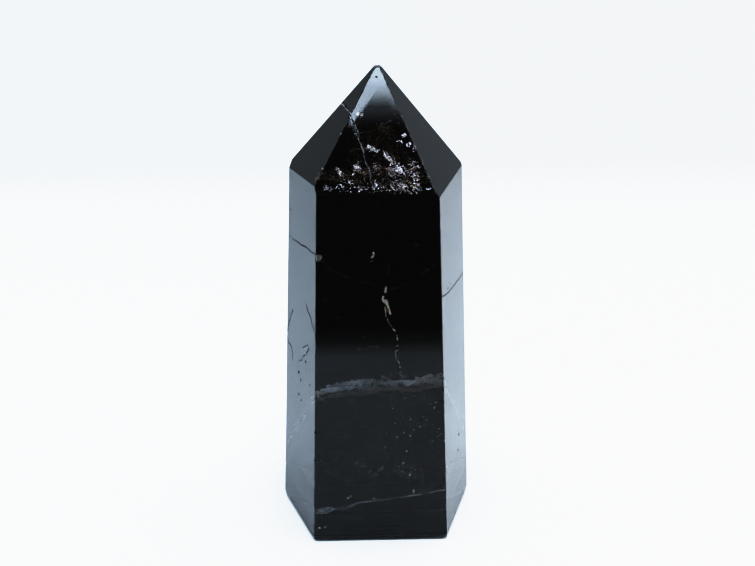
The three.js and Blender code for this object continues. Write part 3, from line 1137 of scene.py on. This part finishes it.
def panel_shape(tree, x, y, z):
    """How bright the overhead panel is in a direction. Its front edge fades softly, and on the left it
    reaches further with a sharp slanting edge."""
    rise = calculate(tree, "MAXIMUM", z, 0.02)
    sideways = calculate(tree, "DIVIDE", x, rise)
    forward = calculate(tree, "DIVIDE", y, rise)
    beyond = calculate(tree, "MAXIMUM", calculate(tree, "SUBTRACT", sideways, PANEL_SOFT_TURN), 0.0)
    turned_back = calculate(tree, "MINIMUM", times(tree, beyond, 0.6), 0.02)
    soft_edge = fade(tree, calculate(tree, "ADD", forward, turned_back), *PANEL_SOFT_EDGE)
    slant = calculate(tree, "SUBTRACT", forward, times(tree, sideways, PANEL_SHARP_SLANT))
    sharp_edge = fade(tree, slant, *PANEL_SHARP_EDGE, 0.0, 0.8)
    sharp_edge = times(tree, sharp_edge, fade(tree, sideways, *PANEL_SHARP_FROM))
    glow = fade(tree, forward, *PANEL_GLOW, 0.0, 0.15)
    shape = calculate(tree, "MAXIMUM", calculate(tree, "MAXIMUM", soft_edge, sharp_edge), glow)
    shape = times(tree, shape, fade(tree, calculate(tree, "ABSOLUTE", sideways), *PANEL_SIDES, 1.0, 0.0))
    shape = times(tree, shape, fade(tree, forward, *PANEL_BACK, 1.0, 0.0))
    return times(tree, shape, fade(tree, z, 0.3, 0.5))


def room_light(tree, x, y, z, settings):
    """How bright the room is in a direction: daylight from above and behind, and a weak window behind the
    camera."""
    level = fade(tree, x, -0.3, 0.3, settings.surroundings * 0.86, settings.surroundings)
    daylight = fade(tree, x, -0.6, 0.6, settings.sky * 0.6, settings.sky * 1.4)
    sky = calculate(tree, "ADD", level, times(tree, fade(tree, z, 0.26, 0.45), daylight))
    window = times(tree, fade(tree, z, 0.08, 0.26), fade(tree, z, 0.76, 0.85, settings.window, 0.0))
    behind = times(tree, fade(tree, y, -0.45, 0.05), sky)
    before = times(tree, fade(tree, y, -0.45, 0.05, 1.0, 0.0), window)
    return times(tree, calculate(tree, "ADD", behind, before), fade(tree, z, -0.02, 0.02))


def studio_world(settings):
    """A pale room, dark where the photographer stands, with a soft panel overhead. The camera itself sees
    an even backdrop."""
    world = bpy.data.worlds.new("studio")
    world.use_nodes = True
    tree = world.node_tree
    nodes = tree.nodes
    nodes.clear()
    link = tree.links.new
    x, y, z = split(tree, nodes.new("ShaderNodeTexCoord").outputs["Generated"])
    panel = times(tree, panel_shape(tree, x, y, z), settings.overhead)
    total = calculate(tree, "ADD", room_light(tree, x, y, z, settings), panel)
    panel_share = calculate(tree, "DIVIDE", panel, calculate(tree, "MAXIMUM", total, 0.001))
    colour = blend(tree, panel_share, settings.light_colour, settings.panel_colour)
    seen = nodes.new("ShaderNodeMix")
    seen.data_type = "FLOAT"
    seen.inputs["B"].default_value = settings.surroundings
    link(nodes.new("ShaderNodeLightPath").outputs["Is Camera Ray"], seen.inputs["Factor"])
    link(total, seen.inputs["A"])
    background = nodes.new("ShaderNodeBackground")
    link(colour, background.inputs["Color"])
    link(seen.outputs["Result"], background.inputs["Strength"])
    link(background.outputs[0], nodes.new("ShaderNodeOutputWorld").inputs["Surface"])
    return world


def place_camera(scene, settings):
    """The camera stands in front and above and looks down at the crystal."""
    camera = bpy.data.objects.new("camera", bpy.data.cameras.new("camera"))
    camera.data.sensor_width = 36.0
    camera.data.lens = settings.focal_length
    camera.data.clip_start = 0.01
    camera.location = settings.camera_place
    camera.rotation_euler = (math.pi / 2 - settings.camera_pitch, 0.0, -settings.camera_turn)
    scene.collection.objects.link(camera)
    scene.camera = camera


# Points of the film curve, from the light that falls on the film to the print's tone
FILM_CURVE = ((0.0, 0.0105), (0.24, 0.242), (0.33, 0.31), (0.5, 0.345), (1.0, 0.356))


def set_film(scene):
    """A contrasty print: deep blacks, and highlights that fade into white."""
    view = scene.view_settings
    view.view_transform = "Standard"
    view.look = "None"
    view.exposure = 1.475
    view.gamma = 0.4545
    view.use_curve_mapping = True
    curve = view.curve_mapping.curves[3]
    curve.points[0].location = FILM_CURVE[0]
    curve.points[1].location = FILM_CURVE[-1]
    for place in FILM_CURVE[1:-1]:
        curve.points.new(*place)
    for point in curve.points:
        point.handle_type = "AUTO_CLAMPED"
    view.curve_mapping.update()


# Panel

class QUARTZ_PT_sidebar(bpy.types.Panel):
    """Lists the settings and the steps of the quartz point"""

    bl_idname = "QUARTZ_PT_sidebar"
    bl_label = "Quartz Point"
    bl_space_type = "VIEW_3D"
    bl_region_type = "UI"
    bl_category = "Quartz Point"

    def draw(self, context):
        settings = context.scene.quartz_point
        for operator, group in STEPS:
            box = self.layout.box()
            values = getattr(settings, group)
            for name in values.__annotations__:
                box.prop(values, name)
            box.operator(operator.bl_idname)


STEPS = (
    (QUARTZ_OT_crystal, "crystal"),
    (QUARTZ_OT_veils, "veils"),
    (QUARTZ_OT_cracks, "cracks"),
    (QUARTZ_OT_glints, "glints"),
    (QUARTZ_OT_stage, "stage"),
)
CLASSES = (
    CrystalSettings,
    VeilSettings,
    CrackSettings,
    GlintSettings,
    StageSettings,
    QuartzPointSettings,
    *(operator for operator, group in STEPS),
    QUARTZ_PT_sidebar,
)


def register():
    for cls in CLASSES:
        bpy.utils.register_class(cls)
    bpy.types.Scene.quartz_point = PointerProperty(type=QuartzPointSettings)


def unregister():
    del bpy.types.Scene.quartz_point
    for cls in reversed(CLASSES):
        bpy.utils.unregister_class(cls)


def main():
    """Makes everything in order."""
    register()
    for operator, _group in STEPS:
        group, name = operator.bl_idname.split(".")
        getattr(getattr(bpy.ops, group), name)()


if __name__ == "__main__":
    main()
